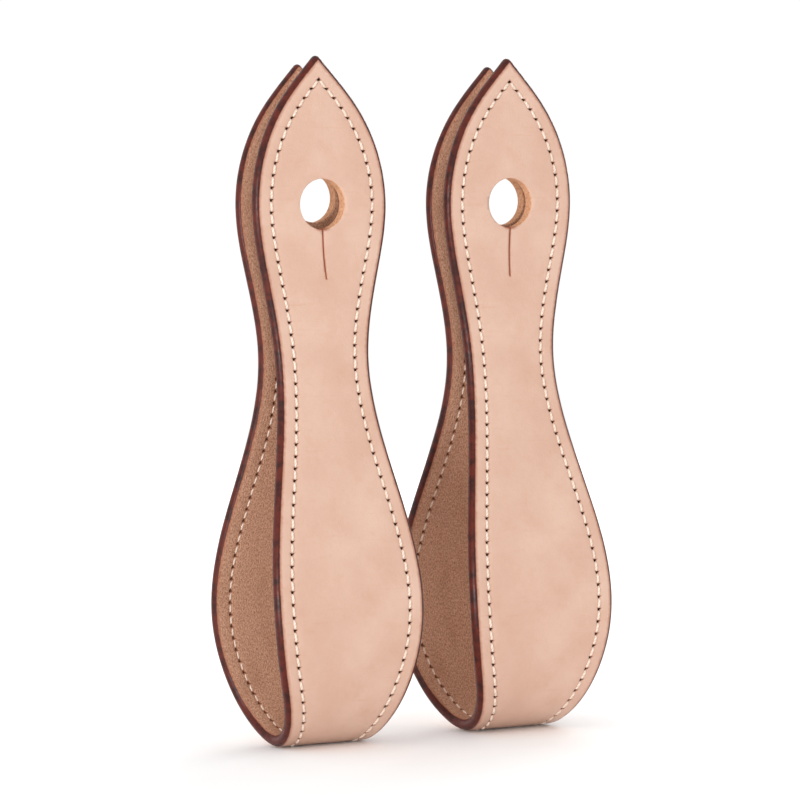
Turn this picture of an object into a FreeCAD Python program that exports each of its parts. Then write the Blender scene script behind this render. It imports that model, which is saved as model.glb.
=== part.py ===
"""A pair of folded leather slobber straps for a snaffle bit and a rope rein.

Each strap is one ply of thick skirting leather, folded once at the bottom into a
teardrop loop for the bit ring. Its two leaves stand up to pointed spade ends with a
punched hole for the rein. A border row of lockstitch follows the edge on both faces.

The leather bends at the fold and at the waist of each leaf, so each strap is cut
there into four segments that turn on round noses in round sockets.

Frame: millimetres, +Z up, +X to the right, the grain face of the front leaves
towards -Y. The origin is the middle of the left strap's front rein hole.
"""
import FreeCAD
import Part

import math
import os

# ---- the leather ---------------------------------------------------------------
THICKNESS = 4.2           # one ply of 10 to 11 oz skirting leather
FOLDED_LENGTH = 229.0     # under the fold to the front leaf's tip
STRAP_SPACING = 73.0      # centre to centre, as the pair lies
BACK_LEAF_SHORT = 2.2     # how much lower the back leaf's tip ends

# ---- outline: half-widths of the strap ----------------------------------------
TIP_HALF_WIDTH = 2.6      # where the rounded nose of the tip begins
SHOULDER_BELOW_TIP = 14.0
SHOULDER_HALF_WIDTH = 13.0
CHEEK_BELOW_TIP = 32.0
CHEEK_HALF_WIDTH = 22.4
SPADE_BELOW_TIP = 50.0
SPADE_HALF_WIDTH = 25.0
NECK_BELOW_TIP = 73.0
NECK_HALF_WIDTH = 21.6
WAIST_BELOW_TIP = 98.0
WAIST_HALF_WIDTH = 17.6
BELLY_FROM_FOLD = 62.0    # along the leather
BELLY_HALF_WIDTH = 27.8
HEEL_FROM_FOLD = 34.0
HEEL_HALF_WIDTH = 25.2
FOLD_HALF_WIDTH = 17.8

# ---- side view: half of the gap between the leaves' middle surfaces ------------
LOOP_HEIGHT = 38.0        # height of the loop's widest place above the fold
WAIST_HALF_GAP = 5.0
HOLE_HALF_GAP = 5.85
TIP_HALF_GAP = 6.3
WAIST_RISE = 12.0         # the leaves run together this far below and above the waist
WAIST_FLARE = 1.5         # and are this much further apart at its lower end

# ---- rein holes and slits -------------------------------------------------------
HOLE_RADIUS = 8.4
HOLE_BELOW_TIP = 49.0
SLIT_LENGTH = 16.5
SLIT_WIDTH = 0.6

# ---- border stitching -----------------------------------------------------------
ROW_INSET = 6.0           # stitch row to the leather's edge
THREAD_WIDTH = 0.9
THREAD_DEPTH = 0.55       # sunk into the leather
THREAD_PROUD = 0.20       # standing out of it
THREAD_CLEARANCE = 0.03   # groove wall to thread
GROOVE_OVERRUN = 1.0      # a groove's cutter past the end of its leather

# ---- bending places -------------------------------------------------------------
NOSE_COVER = 0.02         # leather between a nose and the thread grooves
SOCKET_CLEARANCE = 0.06
END_GAP = 0.1             # between the flat ends beside the nose
WAIST_OPENS = 30.0        # degrees outwards
WAIST_CLOSES = 1.0
FOLD_OPENS = 50.0
FOLD_CLOSES = 1.0
RELIEF_MARGIN = 2.0       # degrees of spare room at each limit
RELIEF_REACH = 3.0        # how far the relief reaches past the middle surface

SECTION_STEP = 8.0        # spacing of the leather's cross-sections
ROW_STEP = 6.0            # spacing of the thread's cross-sections

# Handwork leaves the two straps slightly different.
STRAPS = {
    "left": {
        "x": 0.0,
        "loop_half_gap": 22.6,
        "tip_shift": -1.2,
        "slit_drift": 1.5,
        "back_hole_x": 3.0,
        "back_hole_z": 2.4,
    },
    "right": {
        "x": STRAP_SPACING,
        "loop_half_gap": 25.0,
        "tip_shift": 0.0,
        "slit_drift": 0.0,
        "back_hole_x": 4.2,
        "back_hole_z": 1.0,
    },
}

EDGE_RADIUS = THICKNESS / 2.0     # the burnished edge is fully round
NOSE_RADIUS = EDGE_RADIUS - THREAD_DEPTH - THREAD_CLEARANCE - NOSE_COVER
FOLD_Z = HOLE_BELOW_TIP - FOLDED_LENGTH + EDGE_RADIUS
FOLD_Y = HOLE_HALF_GAP


def spline(points, parameters=None):
    """Smooth curve through points, at the given parameters where they are given."""
    curve = Part.BSplineCurve()
    if parameters is None:
        curve.interpolate(Points=points)
    else:
        curve.interpolate(Points=points, Parameters=parameters)
    return curve


class Strap:
    """One folded strap: its middle surface, outline and stitch row."""

    def __init__(self, sizes):
        self.sizes = sizes
        self.curve = spline(self.profile_points())
        self.first = self.curve.FirstParameter
        fold_parameter = self.curve.parameter(self.on_plane(0.0, 0.0))
        self.front_length = self.curve.length(self.first, fold_parameter)
        self.back_length = self.curve.length(fold_parameter, self.curve.LastParameter)
        self.outline = self.make_outline()

    @staticmethod
    def on_plane(half_gap, height):
        """Point of the side view, from the fold's middle."""
        return FreeCAD.Vector(0.0, FOLD_Y + half_gap, FOLD_Z + height)

    def leaf_profile(self, tip_height):
        """Half-gap and height of one leaf, from just above the fold to its tip."""
        loop = self.sizes["loop_half_gap"]
        waist = tip_height + EDGE_RADIUS - WAIST_BELOW_TIP
        return [
            (0.66 * loop, 0.235 * LOOP_HEIGHT),
            (0.91 * loop, 0.59 * LOOP_HEIGHT),
            (loop, LOOP_HEIGHT),
            (0.89 * loop, 1.6 * LOOP_HEIGHT),
            (WAIST_HALF_GAP + WAIST_FLARE, waist - 0.6 * WAIST_RISE),
            (WAIST_HALF_GAP, waist + WAIST_RISE),
            (HOLE_HALF_GAP, tip_height + EDGE_RADIUS - HOLE_BELOW_TIP),
            (TIP_HALF_GAP, tip_height),
        ]

    def profile_points(self):
        """Side view of the middle surface, front tip to fold to back tip."""
        front_tip = FOLDED_LENGTH - 2.0 * EDGE_RADIUS
        front = self.leaf_profile(front_tip)
        back = self.leaf_profile(front_tip - BACK_LEAF_SHORT)
        points = [self.on_plane(-half_gap, height) for half_gap, height in reversed(front)]
        points.append(self.on_plane(0.0, 0.0))
        points.extend(self.on_plane(half_gap, height) for half_gap, height in back)
        return points

    def leaf_outline(self, length, tip_shift):
        """Distance from the fold, half-width and sideways shift, fold side first."""
        tip = length + EDGE_RADIUS
        return [
            (HEEL_FROM_FOLD, HEEL_HALF_WIDTH, 0.0),
            (BELLY_FROM_FOLD, BELLY_HALF_WIDTH, 0.0),
            (tip - WAIST_BELOW_TIP, WAIST_HALF_WIDTH, 0.0),
            (tip - NECK_BELOW_TIP, NECK_HALF_WIDTH, 0.0),
            (tip - SPADE_BELOW_TIP, SPADE_HALF_WIDTH, 0.1 * tip_shift),
            (tip - CHEEK_BELOW_TIP, CHEEK_HALF_WIDTH, 0.35 * tip_shift),
            (tip - SHOULDER_BELOW_TIP, SHOULDER_HALF_WIDTH, 0.75 * tip_shift),
            (length, TIP_HALF_WIDTH, tip_shift),
        ]

    def make_outline(self):
        """Curve that gives half-width (y) and sideways shift (z) for a place along."""
        shift = self.sizes["tip_shift"]
        front = self.leaf_outline(self.front_length, shift)
        back = self.leaf_outline(self.back_length, shift)
        rows = [(-along, width, move) for along, width, move in reversed(front)]
        rows.append((0.0, FOLD_HALF_WIDTH, 0.0))
        rows.extend(back)
        points = [FreeCAD.Vector(along, width, move) for along, width, move in rows]
        return spline(points, [row[0] for row in rows])

    def frame_at(self, along):
        """Middle point, direction towards the back tip, and outward normal."""
        distance = self.front_length + along
        parameter = self.curve.parameterAtDistance(distance, self.first)
        point = self.curve.value(parameter)
        ahead = self.curve.tangent(parameter)[0]
        outward = FreeCAD.Vector(0.0, ahead.z, -ahead.y)
        return point, ahead, outward

    def place(self, along, across, lift):
        """Point on the leather: along and across it, lifted off its middle surface."""
        point, ahead, outward = self.frame_at(along)
        return point + FreeCAD.Vector(self.sizes["x"] + across, 0.0, 0.0) + outward * lift

    def section(self, along):
        """Cross-section of the leather: two flat faces and two round edges."""
        law = self.outline.value(along)
        flat = law.y - EDGE_RADIUS
        right, left = law.z + flat, law.z - flat
        corners = [
            self.place(along, left, EDGE_RADIUS),
            self.place(along, right, EDGE_RADIUS),
            self.place(along, right + EDGE_RADIUS, 0.0),
            self.place(along, right, -EDGE_RADIUS),
            self.place(along, left, -EDGE_RADIUS),
            self.place(along, left - EDGE_RADIUS, 0.0),
        ]
        edges = [
            Part.LineSegment(corners[0], corners[1]).toShape(),
            Part.Arc(corners[1], corners[2], corners[3]).toShape(),
            Part.LineSegment(corners[3], corners[4]).toShape(),
            Part.Arc(corners[4], corners[5], corners[0]).toShape(),
        ]
        return Part.Wire(edges)

    def tip(self, along, direction):
        """Half-round end that carries the cross-section on past a place."""
        law = self.outline.value(along)
        flat = law.y - EDGE_RADIUS
        points = [
            self.place(along, law.z - flat - EDGE_RADIUS, 0.0),
            self.place(along, law.z - flat, EDGE_RADIUS),
            self.place(along, law.z + flat, EDGE_RADIUS),
            self.place(along, law.z + flat + EDGE_RADIUS, 0.0),
        ]
        corner = EDGE_RADIUS / math.sqrt(2.0)
        rise_left = self.place(along, law.z - flat - corner, corner)
        rise_right = self.place(along, law.z + flat + corner, corner)
        half = Part.Face(Part.Wire([
            Part.Arc(points[0], rise_left, points[1]).toShape(),
            Part.LineSegment(points[1], points[2]).toShape(),
            Part.Arc(points[2], rise_right, points[3]).toShape(),
            Part.LineSegment(points[3], points[0]).toShape(),
        ]))
        axis_point = self.place(along, 0.0, 0.0)
        turn = 180.0 * direction
        return half.revolve(axis_point, FreeCAD.Vector(1.0, 0.0, 0.0), turn)

    def knuckle(self, along, radius, length):
        """Round bar across the leather at a bending place."""
        law = self.outline.value(along)
        middle = self.place(along, law.z, 0.0)
        side = FreeCAD.Vector(1.0, 0.0, 0.0)
        return Part.makeCylinder(radius, length, middle - side * (length / 2.0), side)

    def hinge_nose(self, along):
        """Round nose on the end of one segment, that the next one turns on."""
        flat_width = 2.0 * (self.outline.value(along).y - EDGE_RADIUS)
        return self.knuckle(along, NOSE_RADIUS, flat_width)

    def socket(self, along, opens, closes):
        """What is cut from the next segment for the nose and for its travel."""
        law = self.outline.value(along)
        point, ahead, outward = self.frame_at(along)
        side = FreeCAD.Vector(1.0, 0.0, 0.0)
        length = 2.0 * (law.y + EDGE_RADIUS)
        start = point + side * (self.sizes["x"] + law.z - length / 2.0)
        reach = RELIEF_REACH
        outer = reach * math.tan(math.radians(opens + RELIEF_MARGIN))
        inner = reach * math.tan(math.radians(closes + RELIEF_MARGIN))
        corners = [
            start + outward * reach - ahead * reach,
            start + outward * reach + ahead * (END_GAP + outer),
            start + ahead * END_GAP,
            start - outward * reach + ahead * (END_GAP + inner),
            start - outward * reach - ahead * reach,
        ]
        wedge = Part.Face(Part.makePolygon(corners + corners[:1])).extrude(side * length)
        return wedge.fuse(self.knuckle(along, NOSE_RADIUS + SOCKET_CLEARANCE, length))

    def leather(self, begin, end):
        """Leather between two places, square across at both."""
        count = max(4, round((end - begin) / SECTION_STEP))
        stations = [begin + (end - begin) * i / count for i in range(count + 1)]
        return Part.makeLoft([self.section(along) for along in stations], True, False)

    def row_point(self, along, side):
        """Place of the stitch row beside a place on the outline, side -1 or 1."""
        law = self.outline.value(along)
        slope = self.outline.getD1(along)[1].y
        unit = math.hypot(1.0, slope)
        return along + ROW_INSET * slope / unit, law.z + side * (law.y - ROW_INSET / unit)

    def row_half_width(self, along, side):
        """Distance across to the stitch row at one place along the leather."""
        guess = along
        for _ in range(8):
            reached = self.row_point(guess, side)[0]
            guess += along - reached
        return self.row_point(guess, side)[1]

    def row_top(self, leaf, side):
        """Place below a tip where one side of the stitch row ends, next to the other."""
        low = (self.front_length if leaf < 0 else self.back_length) - SHOULDER_BELOW_TIP
        high = low + SHOULDER_BELOW_TIP
        for _ in range(40):
            middle = 0.5 * (low + high)
            centre = self.outline.value(leaf * middle).z
            off_centre = side * (self.row_half_width(leaf * middle, side) - centre)
            if off_centre > THREAD_WIDTH:
                low = middle
            else:
                high = middle
        return leaf * low

    def thread_run(self, begin, end, side, face, slack):
        """Thread on one side of one face, between two places along the leather."""
        half = THREAD_WIDTH / 2.0 + slack
        top = face * (EDGE_RADIUS + THREAD_PROUD + slack)
        bottom = face * (EDGE_RADIUS - THREAD_DEPTH - slack)
        count = max(4, round(abs(end - begin) / ROW_STEP))
        stations = [begin + (end - begin) * i / count for i in range(count + 1)]
        row = [self.row_half_width(along, side) for along in stations]
        step = (end - begin) / count
        wires = []
        for i, along in enumerate(stations):
            before, after = max(i - 1, 0), min(i + 1, count)
            slope = (row[after] - row[before]) / (step * (after - before))
            reach = half * math.hypot(1.0, slope)
            corners = [
                self.place(along, row[i] - reach, bottom),
                self.place(along, row[i] + reach, bottom),
                self.place(along, row[i] + reach, top),
                self.place(along, row[i] - reach, top),
            ]
            wires.append(Part.makePolygon(corners + corners[:1]))
        return Part.makeLoft(wires, True, False)

    def rein_hole(self, leaf):
        """Cylinder of the punched hole through one leaf."""
        x = self.sizes["x"]
        z = 0.0
        if leaf > 0:
            x += self.sizes["back_hole_x"]
            z += self.sizes["back_hole_z"]
        middle_y = FOLD_Y + leaf * HOLE_HALF_GAP
        start = FreeCAD.Vector(x, middle_y - THICKNESS, z)
        return Part.makeCylinder(HOLE_RADIUS, 2.0 * THICKNESS, start, FreeCAD.Vector(0.0, 1.0, 0.0))

    def slit(self):
        """Cut that runs down from the front hole."""
        x = self.sizes["x"]
        half = SLIT_WIDTH / 2.0
        drift = self.sizes["slit_drift"]
        y = FOLD_Y - HOLE_HALF_GAP - THICKNESS
        low = -HOLE_RADIUS - SLIT_LENGTH
        corners = [
            FreeCAD.Vector(x - half, y, -HOLE_RADIUS / 2.0),
            FreeCAD.Vector(x + half, y, -HOLE_RADIUS / 2.0),
            FreeCAD.Vector(x + drift + half, y, low),
            FreeCAD.Vector(x + drift - half, y, low),
        ]
        face = Part.Face(Part.makePolygon(corners + corners[:1]))
        return face.extrude(FreeCAD.Vector(0.0, 2.0 * THICKNESS, 0.0))


def write(node, shape):
    """Save one named piece."""
    if not shape.isValid():
        raise ValueError("broken shape: " + node)
    shape.exportStep("parts/" + node + ".step")
    print(node, len(shape.Solids), "solids", round(shape.Volume), "mm3")


def thread_gap(travel):
    """How far the thread starts past a hinge, to stay clear of the nose and the bend."""
    opens = math.radians(travel[0] + RELIEF_MARGIN)
    return max(EDGE_RADIUS, (EDGE_RADIUS + THREAD_PROUD) * math.tan(opens))


def stitch_runs(strap, segment, begin, end, travel):
    """Begin, end and side of the two runs of stitching on one segment."""
    start = begin + thread_gap(travel) if travel else begin
    if segment == "front_spade":
        return [(strap.row_top(-1, side), end, side) for side in (-1, 1)]
    if segment == "back_spade":
        return [(start, strap.row_top(1, side), side) for side in (-1, 1)]
    return [(start, end, side) for side in (-1, 1)]


def build_strap(name, sizes):
    """Make the four segments of one strap and the threads on both faces."""
    strap = Strap(sizes)
    below_end = WAIST_BELOW_TIP - EDGE_RADIUS
    front_waist = below_end - strap.front_length
    back_waist = strap.back_length - below_end
    waist = (WAIST_OPENS, WAIST_CLOSES)
    fold = (FOLD_OPENS, FOLD_CLOSES)
    segments = [
        ("front_spade", -strap.front_length, front_waist, None),
        ("front_lower", front_waist, 0.0, waist),
        ("back_lower", 0.0, back_waist, fold),
        ("back_spade", back_waist, strap.back_length, waist),
    ]
    for segment, begin, end, travel in segments:
        body = strap.leather(begin, end)
        for thread_name, face in (("needle_thread", 1), ("bobbin_thread", -1)):
            runs = []
            for run_begin, run_end, side in stitch_runs(strap, segment, begin, end, travel):
                overrun = 0.0 if segment == "back_spade" else GROOVE_OVERRUN
                groove_end = run_end + overrun
                groove = strap.thread_run(run_begin, groove_end, side, face, THREAD_CLEARANCE)
                body = body.cut(groove)
                runs.append(strap.thread_run(run_begin, run_end, side, face, 0.0))
            write(name + "_" + segment + "_" + thread_name, Part.makeCompound(runs))
        if segment.endswith("spade"):
            body = body.cut(strap.rein_hole(-1 if segment == "front_spade" else 1))
        if segment == "front_spade":
            body = body.cut(strap.slit())
            body = body.fuse(strap.tip(begin, -1))
        if travel:
            body = body.cut(strap.socket(begin, *travel))
        ending = strap.tip(end, 1) if segment == "back_spade" else strap.hinge_nose(end)
        write(name + "_" + segment, body.fuse(ending))
    for label, place in (("front waist", front_waist), ("fold", 0.0), ("back waist", back_waist)):
        print(name, label, "hinge at", strap.place(place, 0.0, 0.0))


os.makedirs("parts", exist_ok=True)
for strap_name, strap_sizes in STRAPS.items():
    build_strap(strap_name, strap_sizes)
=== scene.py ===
"""Pair of folded leather slobber straps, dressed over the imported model.

Lengths are millimetres until a piece is finished, and metres in the scene. The frame is
the model's own: +Z up, +X from the left strap to the right, grain face of the front
leaves towards -Y, origin in the middle of the left strap's front rein hole.
"""

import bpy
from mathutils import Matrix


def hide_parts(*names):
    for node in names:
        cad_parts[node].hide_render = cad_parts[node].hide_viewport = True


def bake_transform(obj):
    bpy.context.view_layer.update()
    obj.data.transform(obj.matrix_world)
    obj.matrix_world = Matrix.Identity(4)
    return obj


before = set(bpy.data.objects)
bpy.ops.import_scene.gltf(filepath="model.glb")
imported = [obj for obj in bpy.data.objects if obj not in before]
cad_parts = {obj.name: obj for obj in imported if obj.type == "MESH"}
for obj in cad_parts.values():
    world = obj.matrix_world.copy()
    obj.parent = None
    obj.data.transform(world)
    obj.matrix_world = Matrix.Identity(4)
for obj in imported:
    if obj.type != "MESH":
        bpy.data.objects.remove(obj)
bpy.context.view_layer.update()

import logging
import math
from dataclasses import dataclass
from enum import Enum

import bmesh
import bpy
import numpy as np
from mathutils import Matrix, Quaternion, Vector, noise

LOG = logging.getLogger("straps")
MM = 0.001
Rgb = tuple[int, int, int]
Socket = bpy.types.NodeSocket


class Side(Enum):
    """Which strap of the pair."""

    LEFT = "left"
    RIGHT = "right"


class Face(Enum):
    """Face of the leather, with its direction off the middle surface."""

    GRAIN = 1
    FLESH = -1


class Stretch(Enum):
    """Stretch of a strap that is one finished piece."""

    FRONT_SPADE = "front_spade"
    LOOP = "loop"
    BACK_SPADE = "back_spade"


class Spline:
    """Natural cubic spline through rows of values at given knots."""

    def __init__(self, knots: list[float], values: list[tuple[float, ...]]) -> None:
        """Solve for the second derivatives.

        Args:
            knots: increasing parameters.
            values: one row of coordinates for each knot.
        """
        self.knots = np.array(knots, float)
        self.values = np.array(values, float)
        gaps = np.diff(self.knots)
        count = len(self.knots)
        matrix = np.eye(count)
        right = np.zeros_like(self.values)
        rises = np.diff(self.values, axis=0) / gaps[:, None]
        for i in range(1, count - 1):
            matrix[i, i - 1] = gaps[i - 1]
            matrix[i, i] = 2.0 * (gaps[i - 1] + gaps[i])
            matrix[i, i + 1] = gaps[i]
            right[i] = 6.0 * (rises[i] - rises[i - 1])
        self.bends = np.linalg.solve(matrix, right)

    def _span(self, at: np.ndarray) -> tuple[np.ndarray, np.ndarray, np.ndarray]:
        """Find the span that holds each parameter.

        Args:
            at: parameters.

        Returns:
            Index of the span, distance into it and the span's length.
        """
        index = np.clip(np.searchsorted(self.knots, at) - 1, 0, len(self.knots) - 2)
        gap = self.knots[index + 1] - self.knots[index]
        return index, at - self.knots[index], gap

    def value(self, at: np.ndarray) -> np.ndarray:
        """Rows of coordinates at the given parameters.

        Args:
            at: parameters.

        Returns:
            One row of coordinates for each.
        """
        at = np.atleast_1d(at).astype(float)
        i, t, gap = self._span(at)
        first, second = self.bends[i], self.bends[i + 1]
        t, gap = t[:, None], gap[:, None]
        slope = (self.values[i + 1] - self.values[i]) / gap - gap * (2.0 * first + second) / 6.0
        curve = t**2 * first / 2.0 + t**3 * (second - first) / (6.0 * gap)
        return self.values[i] + t * slope + curve

    def slope(self, at: np.ndarray) -> np.ndarray:
        """First derivative at the given parameters.

        Args:
            at: parameters.

        Returns:
            One row of slopes for each.
        """
        step = 1e-3
        at = np.atleast_1d(at).astype(float)
        return (self.value(at + step) - self.value(at - step)) / (2.0 * step)


@dataclass(frozen=True)
class Leather:
    """Sizes that both straps share, in millimetres."""

    thickness: float = 4.2
    folded_length: float = 229.0
    back_leaf_short: float = 2.2
    hole_radius: float = 8.4
    hole_below_tip: float = 49.0
    hole_rim: float = 0.45
    slit_length: float = 16.5
    slit_width: float = 0.26
    slit_overlap: float = 1.0
    slit_bow: float = 0.35
    row_inset: float = 6.0
    stitch_pitch: float = 4.1
    waist_below_tip: float = 98.0
    loop_height: float = 38.0
    waist_half_gap: float = 5.0
    hole_half_gap: float = 5.85
    tip_half_gap: float = 6.3
    waist_rise: float = 12.0
    waist_flare: float = 1.5

    @property
    def edge_radius(self) -> float:
        """Radius of the fully rounded edge."""
        return self.thickness / 2.0

    @property
    def fold_z(self) -> float:
        """Height of the fold's middle surface."""
        return self.hole_below_tip - self.folded_length + self.edge_radius

    def slit_ends(self, hole_z: float) -> tuple[float, float]:
        """Top of the slit's cutter and foot of the slit, for a hole at a height."""
        rim = hole_z - self.hole_radius
        return rim + self.slit_overlap, rim - self.slit_length


@dataclass(frozen=True)
class StrapSizes:
    """What handwork makes different from one strap to the other, in millimetres."""

    x: float
    loop_half_gap: float
    tip_shift: float
    slit_drift: float
    hole_z: float
    back_hole_x: float
    back_hole_z: float


@dataclass(frozen=True)
class Hole:
    """Axis of a punched hole, along Y."""

    x: float
    z: float


class StrapForm:
    """Middle surface, outline and stitch row of one folded strap."""

    # Half-gap and height above the fold, as shares of the loop's own.
    LOOP_SHARES = ((0.66, 0.235), (0.91, 0.59), (1.0, 1.0), (0.89, 1.6))
    FOLD_HALF_WIDTH = 17.8
    WAIST_HALF_WIDTH = 17.6
    TIP_HALF_WIDTH = 2.6
    # Distance from the fold, and half-width.
    NEAR_FOLD = ((34.0, 25.2), (62.0, 27.8))
    # Distance below the tip, half-width and share of the tip's shift.
    NEAR_TIP = ((73.0, 21.6, 0.0), (50.0, 25.0, 0.1), (32.0, 22.4, 0.35), (14.0, 13.0, 0.75))
    # Keeps readings off the outline's very end.
    TIP_MARGIN = 0.01
    PATH_POINTS = 4001
    ROW_POINTS = 6001
    # The search for the nearest place takes every eighth point, for a batch at a time.
    PATH_STRIDE = 8
    BATCH = 2000

    def __init__(self, leather: Leather, sizes: StrapSizes) -> None:
        """Lay the side view and the outline out along the leather.

        Args:
            leather: sizes common to the pair.
            sizes: this strap's own sizes.
        """
        self.leather = leather
        self.sizes = sizes
        self._lay_profile()
        self._lay_outline()
        self._lay_stitches()

    def _leaf_profile(self, tip: float) -> list[tuple[float, float]]:
        """Side view of one leaf, from above the fold to its tip.

        Args:
            tip: height of the tip's middle above the fold.

        Returns:
            Half-gaps and heights.
        """
        size = self.leather
        loop = self.sizes.loop_half_gap
        waist = tip + size.edge_radius - size.waist_below_tip
        return [
            *((gap * loop, height * size.loop_height) for gap, height in self.LOOP_SHARES),
            (size.waist_half_gap + size.waist_flare, waist - 0.6 * size.waist_rise),
            (size.waist_half_gap, waist + size.waist_rise),
            (size.hole_half_gap, tip + size.edge_radius - size.hole_below_tip),
            (size.tip_half_gap, tip),
        ]

    def _lay_profile(self) -> None:
        """Fit the side view from the front tip round the fold to the back tip."""
        size = self.leather
        tip = size.folded_length - size.thickness
        front = [(-gap, height) for gap, height in reversed(self._leaf_profile(tip))]
        back = self._leaf_profile(tip - size.back_leaf_short)
        points = np.array(front + [(0.0, 0.0)] + back)
        points += (size.hole_half_gap, size.fold_z)
        knots = np.concatenate([[0.0], np.cumsum(np.hypot(*np.diff(points, axis=0).T))])
        self.profile = Spline(list(knots), [tuple(point) for point in points])
        steps = np.linspace(0.0, knots[-1], self.PATH_POINTS)
        path = self.profile.value(steps)
        lengths = np.concatenate([[0.0], np.cumsum(np.hypot(*np.diff(path, axis=0).T))])
        fold = np.interp(knots[len(front)], steps, lengths)
        self.steps = steps
        self.along = lengths - fold
        self.path = path
        self.front_length = float(fold)
        self.back_length = float(lengths[-1] - fold)

    def _leaf_outline(self, length: float) -> list[tuple[float, float, float]]:
        """Outline of one leaf, fold side first.

        Args:
            length: the leaf's length from the fold.

        Returns:
            Distances from the fold, half-widths and sideways shifts.
        """
        tip = length + self.leather.edge_radius
        shift = self.sizes.tip_shift
        return [
            *((along, width, 0.0) for along, width in self.NEAR_FOLD),
            (tip - self.leather.waist_below_tip, self.WAIST_HALF_WIDTH, 0.0),
            *((tip - below, width, share * shift) for below, width, share in self.NEAR_TIP),
            (length, self.TIP_HALF_WIDTH, shift),
        ]

    def _lay_outline(self) -> None:
        """Fit the half-width and the sideways shift along the leather."""
        front = self._leaf_outline(self.front_length)
        rows = [(-along, width, shift) for along, width, shift in reversed(front)]
        rows += [(0.0, self.FOLD_HALF_WIDTH, 0.0)] + self._leaf_outline(self.back_length)
        self.outline = Spline([row[0] for row in rows], [row[1:] for row in rows])
        self.points = {-1: self._fit_point(-1, self.front_length),
                       1: self._fit_point(1, self.back_length)}

    def _fit_point(self, leaf: int, length: float) -> tuple[float, float, float, float, float]:
        """Round a leaf's point off with an arc that its straight sides run into.

        Args:
            leaf: -1 for the front leaf and 1 for the back one.
            length: where the straight sides begin, from the fold.

        Returns:
            That place, the half-width and slope there, the place where the arc begins and
            the arc's radius.
        """
        held = np.array([leaf * (length - self.TIP_MARGIN)])
        half = float(self.outline.value(held)[0, 0])
        slope = leaf * float(self.outline.slope(held)[0, 0])
        angle = math.atan(-slope)
        share = (1.0 - math.sin(angle)) / math.cos(angle)
        reach = (self.leather.edge_radius - half * share) / (1.0 + slope * share)
        return length, half, slope, length + reach, (half + slope * reach) / math.cos(angle)

    def _lay_stitches(self) -> None:
        """Find the places of the awl holes, evenly spaced along the stitch row."""
        fine = np.linspace(-self.front_length, self.back_length, self.ROW_POINTS)
        half, stretch, _ = self.width(fine)
        row = np.maximum(half - self.leather.row_inset * stretch, 0.0)
        run = np.hypot(np.diff(fine), np.diff(row))
        run[(row[1:] <= 0.0) & (row[:-1] <= 0.0)] = 0.0
        distance = np.concatenate([[0.0], np.cumsum(run)])
        on_row = np.flatnonzero(row > 0.0)
        self.row_first = float(fine[on_row[0]])
        self.row_last = float(fine[on_row[-1]])
        count = round(distance[-1] / self.leather.stitch_pitch)
        self.phase_table = fine, distance / distance[-1] * count
        self.stitch_count = count

    def phase(self, along: np.ndarray) -> np.ndarray:
        """Stitches counted from the front tip; a whole number is an awl hole."""
        return np.interp(np.atleast_1d(along), *self.phase_table)

    def hole_place(self, number: float) -> float:
        """Place along the leather of an awl hole."""
        fine, count = self.phase_table
        return float(np.interp(number, count, fine))

    def width(self, along: np.ndarray) -> tuple[np.ndarray, np.ndarray, np.ndarray]:
        """Read the outline off.

        Args:
            along: places along the leather.

        Returns:
            Half-widths, how the edge's slant stretches sizes across, and shifts.
        """
        along = np.atleast_1d(along).astype(float)
        held = np.clip(along, -self.front_length, self.back_length)
        law = self.outline.value(held)
        inside = np.clip(held, -self.front_length + self.TIP_MARGIN,
                         self.back_length - self.TIP_MARGIN)
        slope = self.outline.slope(inside)
        half, slant = law[:, 0], slope[:, 0]
        for leaf, (length, start, fall, arc, radius) in self.points.items():
            out = leaf * along
            straight = out > length
            half = np.where(straight, start + fall * (out - length), half)
            slant = np.where(straight, fall, slant)
            off_centre = np.clip(out - (length + self.leather.edge_radius - radius), 0.0, radius)
            round_half = np.sqrt(np.maximum(radius**2 - off_centre**2, 0.0))
            half = np.where(out > arc, round_half, half)
            slant = np.where(out > arc, -off_centre / np.maximum(round_half, 0.05), slant)
        return half, np.hypot(1.0, slant), law[:, 1]

    def frame_at(self, along: np.ndarray) -> tuple[np.ndarray, np.ndarray, np.ndarray]:
        """Read the side view off.

        Args:
            along: places along the leather.

        Returns:
            Middle points, directions ahead and outward normals, as (y, z) rows.
        """
        along = np.atleast_1d(along).astype(float)
        step = 0.05
        held = np.clip(along, -self.front_length + step, self.back_length - step)
        at = np.interp(held, self.along, self.steps)
        near = np.interp(held + step, self.along, self.steps)
        behind = np.interp(held - step, self.along, self.steps)
        ahead = self.profile.value(near) - self.profile.value(behind)
        ahead /= np.linalg.norm(ahead, axis=1)[:, None]
        point = self.profile.value(at) + ahead * (along - held)[:, None]
        outward = np.stack([ahead[:, 1], -ahead[:, 0]], axis=1)
        return point, ahead, outward

    def place(self, along: np.ndarray, across: np.ndarray, lift: np.ndarray) -> np.ndarray:
        """Find points on the leather.

        Args:
            along: places along the leather.
            across: distances off its middle line.
            lift: distances off its middle surface.

        Returns:
            Rows of x, y, z.
        """
        point, _, outward = self.frame_at(along)
        flat = point + outward * np.atleast_1d(lift)[:, None]
        return np.column_stack([self.sizes.x + np.atleast_1d(across), flat])

    def row_across(self, along: np.ndarray, side: int) -> np.ndarray:
        """Sideways place of the stitch row."""
        half, stretch, shift = self.width(along)
        return shift + side * np.maximum(half - self.leather.row_inset * stretch, 0.0)

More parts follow.
